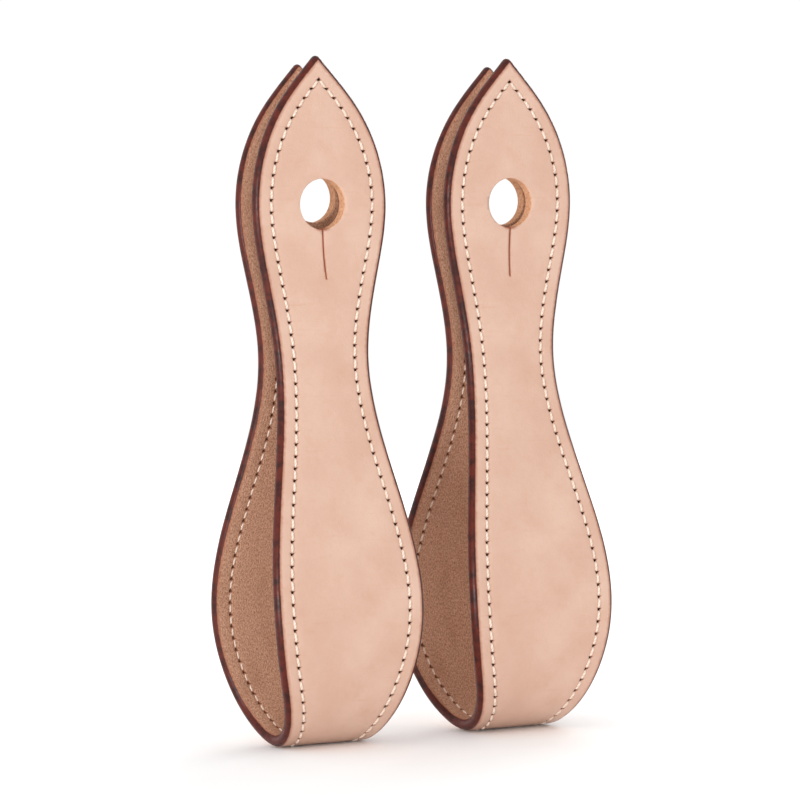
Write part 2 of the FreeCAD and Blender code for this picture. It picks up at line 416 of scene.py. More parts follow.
    def locate(self, points: np.ndarray) -> dict[str, np.ndarray]:
        """Read off where points lie on the leather.

        Args:
            points: rows of x, y, z.

        Returns:
            Arrays named sheet (across, along and off the middle surface), inset (from the
            edge) and phase (stitches counted from the front tip).
        """
        flat = points[:, 1:]
        nearest = np.empty(len(points), int)
        for begin in range(0, len(points), self.BATCH):
            part = flat[begin:begin + self.BATCH]
            coarse = self.path[None, ::self.PATH_STRIDE, :]
            gaps = ((part[:, None, :] - coarse) ** 2).sum(axis=2)
            nearest[begin:begin + self.BATCH] = gaps.argmin(axis=1) * self.PATH_STRIDE
        along = self.along[nearest]
        for _ in range(2):
            point, ahead, outward = self.frame_at(along)
            along = along + ((flat - point) * ahead).sum(axis=1)
        point, ahead, outward = self.frame_at(along)
        half, stretch, shift = self.width(along)
        across = points[:, 0] - self.sizes.x - shift
        past = np.maximum(-self.front_length - along, along - self.back_length)
        inset = (half - np.abs(across)) / stretch
        inset = np.where(past > -1.0, np.minimum(inset, self.leather.edge_radius - past), inset)
        lift = ((flat - point) * outward).sum(axis=1)
        return {
            "sheet": np.column_stack([across, along, lift]),
            "inset": inset,
            "phase": self.phase(along),
        }


class LeatherPiece:
    """One stretch of a strap's leather, with grooves, awl holes and rounded edges."""

    # Distances in from the edge of the columns beside the stitch row.
    EDGE_COLUMNS = (9.6, 8.0, 7.1, 6.6, 6.3, 6.0, 5.7, 5.4, 4.9, 4.0, 3.0)
    INNER_COLUMNS = 11
    EDGE_TURNS = (0.0, 18.0, 36.0, 54.0, 72.0, 90.0)
    # Distances of the rows from where a tip begins to round.
    TIP_STEPS = np.arange(0.6, 7.0, 0.6)
    LEAST_STEP = 0.04
    # Places of the rows between two awl holes, as shares of the pitch.
    ROW_SHARES = (0.0, 0.07, 0.15, 0.3, 0.5, 0.7, 0.85, 0.93)
    GROOVE_DEPTH = 0.22
    GROOVE_WIDTH = 0.9
    AWL_DEPTH = 1.2
    AWL_REACH = 0.52
    AWL_TAPER = 0.7
    # Scale and height of each pattern of unevenness.
    UNEVENNESS = ((0.045, 0.10), (0.16, 0.03))
    # Points closer than this are joined.
    WELD = 0.02

    def __init__(self, form: StrapForm, begin: float, end: float) -> None:
        """Take one stretch of a strap.

        Args:
            form: the strap.
            begin: where the stretch begins along the leather.
            end: where it ends.
        """
        self.form = form
        self.begin = begin
        self.end = end

    def stations(self) -> np.ndarray:
        """Set out the cross-sections by the awl holes and rounded tips.

        Returns:
            Places along the leather, in order.
        """
        form = self.form
        radius = form.leather.edge_radius
        places = [self.begin, self.end]
        first = math.ceil(float(form.phase(max(self.begin, form.row_first))[0]) - 1.0)
        last = math.floor(float(form.phase(min(self.end, form.row_last))[0]) + 1.0)
        for number in range(first, last + 1):
            here, following = form.hole_place(number), form.hole_place(number + 1)
            places += [here + share * (following - here) for share in self.ROW_SHARES]
        for tip, outer in ((-form.front_length, -1.0), (form.back_length, 1.0)):
            places += [tip + outer * radius * math.sin(math.radians(a)) for a in range(0, 91, 10)]
            places += [tip - outer * step for step in self.TIP_STEPS]
        places = np.array(sorted(places))
        places = places[(places >= self.begin) & (places <= self.end)]
        return places[np.concatenate([[True], np.diff(places) > self.LEAST_STEP])]

    def section(self, along: float) -> tuple[np.ndarray, np.ndarray]:
        """Cross-section once round the leather, from the grain face's middle line.

        Args:
            along: place along the leather.

        Returns:
            Sideways places and lifts off the middle surface.
        """
        form = self.form
        radius = form.leather.edge_radius
        half, stretch, shift = (float(v[0]) for v in form.width(along))
        past = max(-form.front_length - along, along - form.back_length, 0.0)
        rise = math.sqrt(max(0.0, 1.0 - (past / radius) ** 2))
        flat = max(half - radius * stretch, 0.0)
        inner = max(half - self.EDGE_COLUMNS[0] * stretch, 0.0)
        across = [inner * column / self.INNER_COLUMNS for column in range(self.INNER_COLUMNS)]
        across += [max(half - inset * stretch, 0.0) for inset in self.EDGE_COLUMNS]
        across = [min(place, flat) for place in across]
        lift = [radius * rise] * len(across)
        for turn in self.EDGE_TURNS:
            angle = math.radians(turn)
            across.append(flat + (half - flat) * math.sin(angle))
            lift.append(radius * rise * math.cos(angle))
        across, lift = np.array(across), np.array(lift)
        grain = self.sink(along, across, lift, half, stretch)
        flesh = self.sink(along, across, lift, half, stretch)
        loop_across = np.concatenate([across, across[-2::-1], -across[1:], -across[-2::-1]])
        loop_lift = np.concatenate([grain, -flesh[-2::-1], -flesh[1:], grain[-2::-1]])
        return loop_across + shift, loop_lift

    def sink(self, along: float, across: np.ndarray, lift: np.ndarray, half: float,
             stretch: float) -> np.ndarray:
        """Press the stitch groove and the awl holes into one face's lifts.

        Args:
            along: place of the cross-section.
            across: distances off the middle line.
            lift: heights off the middle surface.
            half: half-width there.
            stretch: how the edge's slant stretches sizes across.

        Returns:
            The lifts, lowered.
        """
        form = self.form
        if not form.row_first - 0.5 <= along <= form.row_last + 0.5:
            return lift
        off_row = np.abs((half - across) / stretch - form.leather.row_inset)
        phase = float(form.phase(along)[0])
        off_hole = abs(phase - round(phase)) * form.leather.stitch_pitch
        groove = self.GROOVE_DEPTH * np.exp(-((off_row / self.GROOVE_WIDTH) ** 2))
        reach = np.hypot(off_row, off_hole) / self.AWL_REACH
        awl = self.AWL_DEPTH * np.clip(1.0 - reach, 0.0, 1.0) ** self.AWL_TAPER
        return lift - groove - awl

    def build(self, name: str) -> bpy.types.Object:
        """Wrap a grid round the leather and close its ends.

        Args:
            name: the piece's name.

        Returns:
            The piece, closed at both ends.
        """
        stations = self.stations()
        sections = [self.section(float(along)) for along in stations]
        around = len(sections[0][0]) - 1
        rows = [self.form.place(np.full(around + 1, along), *section)
                for along, section in zip(stations, sections)]
        shape = bmesh.new()
        bmesh.ops.create_grid(shape, x_segments=around, y_segments=len(stations) - 1, size=0.5)
        for vert in shape.verts:
            column = round((vert.co.x + 0.5) * around)
            row = round((vert.co.y + 0.5) * (len(stations) - 1))
            vert.co = Vector(rows[row][column])
        bmesh.ops.remove_doubles(shape, verts=shape.verts, dist=self.WELD)
        bmesh.ops.dissolve_degenerate(shape, edges=shape.edges, dist=0.01)
        bmesh.ops.recalc_face_normals(shape, faces=shape.faces)
        self.roughen(shape)
        rims = [edge for edge in shape.edges if edge.is_boundary]
        for edge in rims:
            edge.smooth = False
        bmesh.ops.holes_fill(shape, edges=rims, sides=0)
        bmesh.ops.recalc_face_normals(shape, faces=shape.faces)
        return finish_mesh(shape, name)

    def roughen(self, shape: bmesh.types.BMesh) -> None:
        """Give the surface the slight unevenness of handled leather.

        Args:
            shape: the leather's surface, changed in place.
        """
        for vert in shape.verts:
            rise = sum(noise.noise(vert.co * scale) * height for scale, height in self.UNEVENNESS)
            vert.co += vert.normal * rise


def finish_mesh(shape: bmesh.types.BMesh, name: str) -> bpy.types.Object:
    """Turn a bmesh in millimetres into a smooth-shaded object in metres.

    Args:
        shape: the mesh, freed here.
        name: the object's name.

    Returns:
        The object, linked to the scene.
    """
    bmesh.ops.scale(shape, vec=(MM, MM, MM), verts=shape.verts)
    mesh = bpy.data.meshes.new(name)
    for face in shape.faces:
        face.smooth = True
    shape.to_mesh(mesh)
    shape.free()
    piece = bpy.data.objects.new(name, mesh)
    bpy.context.scene.collection.objects.link(piece)
    return piece


class HolePunch:
    """Cutters for the rein holes and the slit."""

    # Past both faces of the leather, so that a cutter goes right through.
    REACH = 4.0
    RIM_TURNS = (75.0, 55.0, 35.0, 15.0, 0.0)
    STEPS = 72
    SLIT_TAPER = 0.55
    SLIT_CUTS = 9

    def __init__(self, leather: Leather) -> None:
        """Keep the sizes of the punch."""
        self.leather = leather

    def round_cutter(self, hole: Hole, middle_y: float, tilt: float) -> bpy.types.Object:
        """Spin a cutter that flares out at both faces, for a softly rolled rim.

        Args:
            hole: the hole's axis.
            middle_y: y of the leather's middle surface.
            tilt: lean of the leather, in radians.

        Returns:
            The cutter.
        """
        radius, rim = self.leather.hole_radius, self.leather.hole_rim
        straight = self.leather.edge_radius - rim
        profile = [(0.0, self.REACH), (radius + rim, self.REACH)]
        for turn in self.RIM_TURNS:
            angle = math.radians(turn)
            flare = rim * (1.0 - math.cos(angle))
            profile.append((radius + flare, straight + rim * math.sin(angle)))
        profile += [(r, -y) for r, y in reversed(profile)]
        shape = bmesh.new()
        verts = [shape.verts.new((hole.x + r, middle_y + y, hole.z)) for r, y in profile]
        edges = [shape.edges.new(pair) for pair in zip(verts[:-1], verts[1:])]
        bmesh.ops.spin(shape, geom=verts + edges, cent=(hole.x, middle_y, hole.z), axis=(0, 1, 0),
                       angle=math.tau, steps=self.STEPS, use_merge=True)
        bmesh.ops.remove_doubles(shape, verts=shape.verts, dist=1e-4)
        bmesh.ops.rotate(shape, cent=(hole.x, middle_y, hole.z), verts=shape.verts,
                         matrix=Matrix.Rotation(tilt, 3, "X"))
        bmesh.ops.recalc_face_normals(shape, faces=shape.faces)
        return finish_mesh(shape, "cutter")

    def slit_cutter(self, hole: Hole, middle_y: float, drift: float) -> bpy.types.Object:
        """Stretch a cube into the slit's thin, slightly bowed blade.

        Args:
            hole: the hole above the slit.
            middle_y: y of the leather's middle surface.
            drift: how far the slit wanders to the right.

        Returns:
            The cutter.
        """
        size = self.leather
        top, bottom = size.slit_ends(hole.z)
        shape = bmesh.new()
        bmesh.ops.create_cube(shape, size=1.0)
        upright = [edge for edge in shape.edges
                   if abs(edge.verts[0].co.z - edge.verts[1].co.z) > 0.5]
        bmesh.ops.subdivide_edges(shape, edges=upright, cuts=self.SLIT_CUTS)
        for vert in shape.verts:
            share = 0.5 - vert.co.z
            bow = size.slit_bow * math.sin(math.pi * share)
            width = size.slit_width * (1.0 - self.SLIT_TAPER * share)
            vert.co = Vector((hole.x + vert.co.x * width + drift * share - bow,
                              middle_y + vert.co.y * 2.0 * self.REACH,
                              top + (bottom - top) * share))
        bmesh.ops.recalc_face_normals(shape, faces=shape.faces)
        return finish_mesh(shape, "cutter")

    @staticmethod
    def cut(piece: bpy.types.Object, cutter: bpy.types.Object) -> None:
        """Take the cutter out of the piece for good.

        Args:
            piece: what is cut.
            cutter: what cuts, removed here.
        """
        modifier = piece.modifiers.new("cut", "BOOLEAN")
        modifier.operation = "DIFFERENCE"
        modifier.solver = "EXACT"
        modifier.object = cutter
        cutter.hide_render = True
        settled = piece.evaluated_get(bpy.context.evaluated_depsgraph_get())
        mesh = bpy.data.meshes.new_from_object(settled)
        piece.modifiers.clear()
        old, piece.data = piece.data, mesh
        bpy.data.meshes.remove(old)
        bpy.data.objects.remove(cutter, do_unlink=True)


class StitchRun:
    """Separate stitches of waxed thread between awl holes, on one face."""

    # Radius of the thread and height of its middle over the groove.
    THREAD = {Face.GRAIN: (0.43, 0.14), Face.FLESH: (0.34, 0.0)}
    SUNK_ENDS = 0.75
    SLANT = 0.16
    # Where a stitch begins and stops between two awl holes, as shares of the pitch.
    SHARES = (0.08, 0.92)
    ARCH = 0.45
    # Girth at the ends, and what the middle adds, as shares of the radius.
    GIRTH = (0.82, 0.18)
    # The thread lies slightly flattened: its spread and its height.
    FLATTENED = (1.08, 0.92)
    AROUND = 8
    RINGS = 8

    def __init__(self, form: StrapForm, face: Face, begin: float, end: float) -> None:
        """Take the stitches of one stretch.

        Args:
            form: the strap.
            face: the face that they lie on.
            begin: where the stretch begins along the leather.
            end: where it ends.
        """
        self.form = form
        self.face = face
        self.begin = begin
        self.end = end

    def numbers(self) -> range:
        """Choose the stretch's stitches.

        Returns:
            Numbers of the awl holes that they start from.
        """
        form = self.form
        low = float(form.phase(max(self.begin, form.row_first))[0])
        high = float(form.phase(min(self.end, form.row_last))[0])
        first = math.ceil(low - 0.5)
        last = math.ceil(high - 0.5)
        return range(max(first, 0), min(last, form.stitch_count))

    def build(self, name: str) -> bpy.types.Object:
        """Lay every stitch of the stretch, on both sides of the strap.

        Args:
            name: the piece's name.

        Returns:
            The stitches, as one piece.
        """
        shape = bmesh.new()
        shape.loops.layers.uv.new("thread")
        for number in self.numbers():
            for side in (-1, 1):
                self.lay(shape, number, side)
        bmesh.ops.remove_doubles(shape, verts=shape.verts, dist=0.003)
        bmesh.ops.recalc_face_normals(shape, faces=shape.faces)
        return finish_mesh(shape, name)

    def lay(self, shape: bmesh.types.BMesh, number: int, side: int) -> None:
        """Roll one grid into a stitch that dips into the hole at each end.

        Args:
            shape: the mesh that takes the stitch.
            number: the awl hole that it starts from.
            side: -1 for the left row and 1 for the right one.
        """
        form = self.form
        rings = self.RINGS
        start, stop = (form.hole_place(number + share) for share in self.SHARES)
        shares = np.linspace(0.0, 1.0, rings + 1)
        along = start + (stop - start) * shares
        across = form.row_across(along, side) + side * self.SLANT * (0.5 - shares) * 2.0
        face = self.face.value
        surface = form.leather.edge_radius - LeatherPiece.GROOVE_DEPTH
        arch = np.sin(np.pi * shares) ** self.ARCH
        radius, proud = self.THREAD[self.face]
        lift = surface + proud - self.SUNK_ENDS * (1.0 - arch)
        middle = form.place(along, across, face * lift)
        _, _, outward = form.frame_at(along)
        travel = np.gradient(middle, axis=0)
        travel /= np.linalg.norm(travel, axis=1)[:, None]
        up = np.column_stack([np.zeros(len(along)), outward * face])
        aside = np.cross(travel, up)
        aside /= np.linalg.norm(aside, axis=1)[:, None]
        up = np.cross(aside, travel)
        girth = radius * (self.GIRTH[0] + self.GIRTH[1] * np.sin(np.pi * shares))
        girth[[0, -1]] = 0.0
        made = bmesh.ops.create_grid(shape, x_segments=self.AROUND, y_segments=rings,
                                     size=0.5, calc_uvs=True)
        for vert in made["verts"]:
            turn = (vert.co.x + 0.5) * math.tau
            ring = round((vert.co.y + 0.5) * rings)
            spread = math.cos(turn) * girth[ring] * self.FLATTENED[0]
            height = math.sin(turn) * girth[ring] * self.FLATTENED[1]
            vert.co = Vector(middle[ring] + aside[ring] * spread + up[ring] * height)


class NodeDesk:
    """Short calls for laying out one material's nodes."""

    def __init__(self, name: str) -> None:
        """Start a material with only its shader and output.

        Args:
            name: the material's name.
        """
        self.material = bpy.data.materials.new(name)
        self.material.use_nodes = True
        self.tree = self.material.node_tree
        self.tree.nodes.clear()
        self.shader = self.tree.nodes.new("ShaderNodeBsdfPrincipled")
        output = self.tree.nodes.new("ShaderNodeOutputMaterial")
        self.tree.links.new(self.shader.outputs["BSDF"], output.inputs["Surface"])

    def feed(self, socket: Socket, value: object) -> None:
        """Link an output to the socket, or set the socket's value.

        Args:
            socket: the input.
            value: an output, or a value.
        """
        if isinstance(value, Socket):
            self.tree.links.new(value, socket)
        else:
            socket.default_value = value

    def attribute(self, name: str, output: str = "Fac") -> Socket:
        """Read one of the piece's own attributes.

        Args:
            name: the attribute.
            output: Fac, or Vector.

        Returns:
            Its values.
        """
        node = self.tree.nodes.new("ShaderNodeAttribute")
        node.attribute_name = name
        return node.outputs[output]

    def math(self, operation: str, *values: object) -> Socket:
        """Combine numbers.

        Args:
            operation: a math node's operation.
            values: outputs or numbers, in the node's order.

        Returns:
            The result.
        """
        node = self.tree.nodes.new("ShaderNodeMath")
        node.operation = operation
        for socket, value in zip(node.inputs, values):
            self.feed(socket, value)
        return node.outputs[0]

    def fade(self, value: object, begin: float, end: float, low: float = 0.0,
             high: float = 1.0) -> Socket:
        """Go smoothly from low at begin to high at end.

        Args:
            value: what is faded by.
            begin: where the fade begins.
            end: where it ends.
            low: result at begin.
            high: result at end.

        Returns:
            The result.
        """
        node = self.tree.nodes.new("ShaderNodeMapRange")
        node.interpolation_type = "SMOOTHSTEP"
        for name, setting in (("Value", value), ("From Min", begin), ("From Max", end),
                              ("To Min", low), ("To Max", high)):
            self.feed(node.inputs[name], setting)
        return node.outputs["Result"]

    def mix(self, share: object, first: object, second: object,
            blend: str = "MIX") -> Socket:
        """Mix two colours.

        Args:
            share: share of the second colour.
            first: first colour.
            second: second colour.
            blend: how they mix.

        Returns:
            The colour.
        """
        node = self.tree.nodes.new("ShaderNodeMix")
        node.data_type = "RGBA"
        node.blend_type = blend
        node.clamp_factor = True
        self.feed(node.inputs[0], share)
        self.feed(node.inputs[6], first)
        self.feed(node.inputs[7], second)
        return node.outputs[2]

    def stretch(self, vector: object, scale: tuple[float, float, float]) -> Socket:
        """Scale pattern coordinates.

        Args:
            vector: coordinates.
            scale: factor for each axis.

        Returns:
            Scaled coordinates.
        """
        node = self.tree.nodes.new("ShaderNodeMapping")
        self.feed(node.inputs["Vector"], vector)
        node.inputs["Scale"].default_value = scale
        return node.outputs["Vector"]

    def noise(self, vector: object, scale: float, detail: float = 3.0,
              roughness: float = 0.55) -> Socket:
        """Cloudy noise from 0 to 1.

        Args:
            vector: coordinates.
            scale: fineness.
            detail: octaves.
            roughness: weight of the finer ones.

        Returns:
            The noise.
        """
        node = self.tree.nodes.new("ShaderNodeTexNoise")
        self.feed(node.inputs["Vector"], vector)
        node.inputs["Scale"].default_value = scale
        node.inputs["Detail"].default_value = detail
        node.inputs["Roughness"].default_value = roughness
        return node.outputs["Fac"]

    def cells(self, vector: object, scale: float) -> Socket:
        """Distance to the nearest of scattered points.

        Args:
            vector: coordinates.
            scale: fineness.

        Returns:
            The distance.
        """
        node = self.tree.nodes.new("ShaderNodeTexVoronoi")
        self.feed(node.inputs["Vector"], vector)
        node.inputs["Scale"].default_value = scale
        return node.outputs["Distance"]

    def bump(self, height: object, distance: float, strength: float = 1.0,
             normal: object = None) -> Socket:
        """Bend the normal by a height pattern.

        Args:
            height: the pattern.
            distance: its depth in metres.
            strength: how much of it shows.
            normal: normal that it is added to.

        Returns:
            The bent normal.
        """
        node = self.tree.nodes.new("ShaderNodeBump")
        node.inputs["Strength"].default_value = strength
        node.inputs["Distance"].default_value = distance
        self.feed(node.inputs["Height"], height)
        if normal is not None:
            self.feed(node.inputs["Normal"], normal)
        return node.outputs["Normal"]


def tone(red: int, green: int, blue: int) -> tuple[float, float, float, float]:
    """Turn display values into the shaders' colour.

    Args:
        red: 0 to 255.
        green: 0 to 255.
        blue: 0 to 255.

    Returns:
        Linear red, green, blue and alpha.
    """
    shares = [value / 255.0 for value in (red, green, blue)]
    linear = [v / 12.92 if v <= 0.04045 else ((v + 0.055) / 1.055) ** 2.4 for v in shares]
    return (*linear, 1.0)


@dataclass(frozen=True)
class SkirtingLeather:
    """Russet skirting leather with a dyed and burnished edge."""

    name: str = "skirting_leather"
    grain: Rgb = (203, 165, 145)
    grain_warm: Rgb = (194, 148, 123)
    grain_pale: Rgb = (211, 177, 158)
    bleed: Rgb = (158, 92, 66)
    edge: Rgb = (88, 30, 19)
    edge_dark: Rgb = (46, 17, 14)
    flesh: Rgb = (211, 166, 139)
    flesh_dark: Rgb = (154, 107, 80)
    flesh_pale: Rgb = (236, 198, 172)
    wall: Rgb = (229, 180, 143)
    wall_fibre: Rgb = (190, 128, 88)
    # Slit colour: the cut fibres' own reddish tone with painted shade of the narrow slit.
    cut: Rgb = (150, 76, 46)
    # Painted shade in the awl holes.
    awl: Rgb = (46, 24, 17)
    stitch_pitch: float = Leather.stitch_pitch
    row_inset: float = Leather.row_inset
    specular: float = 0.22
    open_roughness: float = 0.92

    def build(self) -> bpy.types.Material:
        """Lay out the leather's nodes.

        Returns:
            The material.
        """
        desk = NodeDesk(self.name)
        sheet = desk.attribute("sheet", "Vector")
        inset = desk.attribute("inset")
        split = desk.tree.nodes.new("ShaderNodeSeparateXYZ")
        desk.feed(split.inputs[0], sheet)
        lift = split.outputs["Z"]
        flesh_side = desk.fade(lift, 0.3, -0.3)
        wall = desk.math("MULTIPLY", desk.fade(desk.attribute("hole"), 0.42, 0.12),
                         desk.fade(desk.math("ABSOLUTE", lift), 2.08, 1.7))
        grain = self.grain_colour(desk, sheet)
        colour = desk.mix(flesh_side, grain, self.flesh_colour(desk, sheet))
        colour = self.stain(desk, colour, sheet, inset, lift)
        colour = desk.mix(wall, colour, self.wall_colour(desk, sheet))
        colour = self.openings(desk, colour, sheet, inset, flesh_side)
        desk.feed(desk.shader.inputs["Base Color"], colour)
        past_dye = desk.math("SUBTRACT", inset, self.dye_reach(desk, lift))
        worn_edge = desk.fade(past_dye, 0.25, -0.3)
        self.surface(desk, sheet, flesh_side, wall, worn_edge)
        return desk.material

    def grain_colour(self, desk: NodeDesk, sheet: object) -> Socket:
        """Mottling, handling marks and pores of the smooth face.

        Args:
            desk: the material's nodes.
            sheet: coordinates on the leather.

        Returns:
            The colour.
        """
        cloud = desk.fade(desk.noise(sheet, 0.045, 4.0, 0.6), 0.3, 0.72)
        colour = desk.mix(cloud, tone(*self.grain), tone(*self.grain_pale))
        patch = desk.fade(desk.noise(sheet, 0.13, 5.0, 0.65), 0.48, 0.8, 0.0, 0.32)
        colour = desk.mix(patch, colour, tone(*self.grain_warm))
        marks = desk.noise(desk.stretch(sheet, (0.05, 0.55, 0.0)), 1.0, 3.0, 0.5)
        colour = desk.mix(desk.fade(marks, 0.6, 0.78, 0.0, 0.28), colour, tone(*self.grain_warm))
        pores = desk.cells(sheet, 1.7)
        colour = desk.mix(desk.fade(pores, 0.24, 0.05, 0.0, 0.22), colour, tone(*self.bleed))
        return colour

    def flesh_colour(self, desk: NodeDesk, sheet: object) -> Socket:
        """Loose fibres and speckles of the rough face.

        Args:
            desk: the material's nodes.
            sheet: coordinates on the leather.

        Returns:
            The colour.
        """
        fibres = desk.noise(desk.stretch(sheet, (2.1, 1.1, 0.0)), 1.0, 6.0, 0.75)
        colour = desk.mix(desk.fade(fibres, 0.36, 0.6), tone(*self.flesh_dark), tone(*self.flesh))
        tufts = desk.noise(desk.stretch(sheet, (3.0, 2.0, 0.0)), 1.0, 4.0, 0.6)
        colour = desk.mix(desk.fade(tufts, 0.52, 0.68, 0.0, 0.7), colour, tone(*self.flesh_pale))
        drag = desk.noise(desk.stretch(sheet, (0.16, 0.06, 0.0)), 1.0, 3.0, 0.5)
        colour = desk.mix(desk.fade(drag, 0.45, 0.75, 0.0, 0.3), colour, tone(*self.flesh_dark))
        specks = desk.cells(sheet, 0.9)
        return desk.mix(desk.fade(specks, 0.2, 0.06, 0.0, 0.45), colour, tone(*self.flesh_dark))

    def wall_colour(self, desk: NodeDesk, sheet: object) -> Socket:
        """Cut fibres inside the rein holes."""
        fibres = desk.noise(desk.stretch(sheet, (0.9, 0.9, 2.6)), 1.2, 5.0, 0.7)
        return desk.mix(desk.fade(fibres, 0.4, 0.66), tone(*self.wall), tone(*self.wall_fibre))

    @staticmethod
    def dye_reach(desk: NodeDesk, lift: object) -> Socket:
        """How far in from the edge the dye goes: further on the grain face."""
        return desk.fade(lift, -1.9, 1.9, 0.95, 1.45)

    def stain(self, desk: NodeDesk, colour: object, sheet: object, inset: object,
              lift: object) -> Socket:
        """Edge dye, with the thin uneven bleed beside it.

        Args:
            desk: the material's nodes.
            colour: the leather's colour.
            sheet: coordinates on the leather.
            inset: distance in from the edge.
            lift: height off the middle surface.

        Returns:
            The stained colour.
        """
        wander = desk.math("MULTIPLY_ADD", desk.noise(sheet, 0.55, 4.0, 0.65), 1.1, -0.55)
        inset = desk.math("SUBTRACT", inset, self.dye_reach(desk, lift))
        reach = desk.math("ADD", inset, wander)
        colour = desk.mix(desk.fade(reach, 1.1, 0.0, 0.0, 0.65), colour, tone(*self.bleed))
        dye = desk.mix(desk.fade(desk.noise(sheet, 0.3, 4.0, 0.6), 0.35, 0.7), tone(*self.edge),
                       tone(*self.edge_dark))
        near = desk.math("MULTIPLY_ADD", wander, 0.3, inset)
        return desk.mix(desk.fade(near, 0.18, -0.2), colour, dye)

    def openings(self, desk: NodeDesk, colour: object, sheet: object, inset: object,
                 flesh_side: object) -> Socket:
        """Darken the slit, the awl holes and the bottom of the stitch groove: painted shade in
        the awl holes and the groove, and in the slit painted shade over the cut fibres' own
        reddish tone.

        Args:
            desk: the material's nodes.
            colour: the leather's colour.
            sheet: coordinates on the leather.
            inset: distance in from the edge.
            flesh_side: 1 on the flesh face.

        Returns:
            The darkened colour.
        """
        slit = desk.attribute("slit")
        torn = desk.math("MULTIPLY_ADD", desk.noise(sheet, 1.4, 3.0, 0.6), 0.7, -0.35)
        slit_mouth = desk.math("MULTIPLY", desk.fade(desk.attribute("hole"), 1.1, 0.1),
                           desk.fade(desk.math("ADD", slit, desk.math("MULTIPLY", torn, 3.0)),
                                     3.4, 1.2))
        # The slit's mouth in the hole rim and the slit itself take the cut colour, the cut
        # fibres' own tone with painted shade of the narrow slit; a brownish halo runs along the
        # slit.
        colour = desk.mix(desk.math("MULTIPLY", slit_mouth, 0.75), colour, tone(*self.cut))
        colour = desk.mix(desk.fade(desk.math("ADD", slit, torn), 0.8, 0.2, 0.0, 0.5), colour,
                          tone(*self.bleed))
        colour = desk.mix(desk.fade(slit, 0.32, 0.2, 0.0, 0.95), colour, tone(*self.cut))
        phase = desk.attribute("phase")
        share = desk.math("FRACT", desk.math("ADD", phase, 0.5))
        off_hole = desk.math("MULTIPLY_ADD", share, self.stitch_pitch, -self.stitch_pitch / 2.0)
        off_row = desk.math("SUBTRACT", inset, self.row_inset)
        slant = desk.math("MULTIPLY_ADD", desk.math("ABSOLUTE", off_row), 0.866,
                          desk.math("MULTIPLY", off_hole, 0.5))
        gap = desk.math("MAXIMUM", slant, desk.math("MULTIPLY", off_hole, -1.0))
        gap = desk.math("MULTIPLY_ADD", torn, 0.45, gap)
        # Painted shade: the bottom of the stitch groove is darkened along the row.
        on_row = desk.fade(desk.math("ABSOLUTE", off_row), 1.0, 0.2, 0.0, 0.3)
        colour = desk.mix(on_row, colour, tone(*self.grain_warm))
        # A brownish ring round each awl hole, then painted shade in the hole itself, weaker on
        # the flesh face.
        colour = desk.mix(desk.fade(gap, 0.85, 0.4, 0.0, 0.5), colour, tone(*self.bleed))
        dark = desk.fade(flesh_side, 0.0, 1.0, 1.0, 0.6)
        return desk.mix(desk.math("MULTIPLY", desk.fade(gap, 0.5, 0.32), dark), colour,
                        tone(*self.awl))

    def surface(self, desk: NodeDesk, sheet: object, flesh_side: object, wall: object,
                worn_edge: object) -> None:
        """Roughness and relief of the grain, the flesh and the burnished edge.

        Args:
            desk: the material's nodes.
            sheet: coordinates on the leather.
            flesh_side: 1 on the flesh face.
            wall: 1 inside a rein hole.
            worn_edge: 1 on the burnished edge.
        """
        rough_face = desk.math("MAXIMUM", flesh_side, wall)
        grain_rough = desk.fade(desk.noise(sheet, 0.35, 4.0), 0.3, 0.7, 0.42, 0.56)
        edge_rough = desk.fade(desk.noise(sheet, 0.8, 3.0), 0.3, 0.7, 0.28, 0.42)
        smooth = desk.math("ADD", desk.math("MULTIPLY", grain_rough,
                                            desk.math("SUBTRACT", 1.0, worn_edge)),
                           desk.math("MULTIPLY", edge_rough, worn_edge))
        open_flesh = desk.math("MULTIPLY", rough_face, desk.math("SUBTRACT", 1.0, worn_edge))
        rough = desk.math("ADD", desk.math("MULTIPLY", smooth,
                                           desk.math("SUBTRACT", 1.0, open_flesh)),
                          desk.math("MULTIPLY", self.open_roughness, open_flesh))
        desk.feed(desk.shader.inputs["Roughness"], rough)
        desk.shader.inputs["Specular IOR Level"].default_value = self.specular
        pores = desk.fade(desk.cells(sheet, 1.7), 0.0, 0.3)
        creases = desk.noise(sheet, 0.9, 6.0, 0.65)
        fine = desk.math("MULTIPLY_ADD", pores, 0.35, creases)
        keep = desk.math("SUBTRACT", 1.0, desk.math("MAXIMUM", rough_face, worn_edge))
        normal = desk.bump(desk.math("MULTIPLY", fine, keep), 0.00009)
        fibres = desk.noise(desk.stretch(sheet, (1.8, 0.9, 0.9)), 1.0, 7.0, 0.75)
        normal = desk.bump(desk.math("MULTIPLY", fibres, open_flesh), 0.0005, 1.0, normal)
        ripple = desk.noise(desk.stretch(sheet, (0.25, 0.25, 2.2)), 1.0, 3.0, 0.5)
        normal = desk.bump(desk.math("MULTIPLY", ripple, worn_edge), 0.00012, 1.0, normal)
        desk.feed(desk.shader.inputs["Normal"], normal)


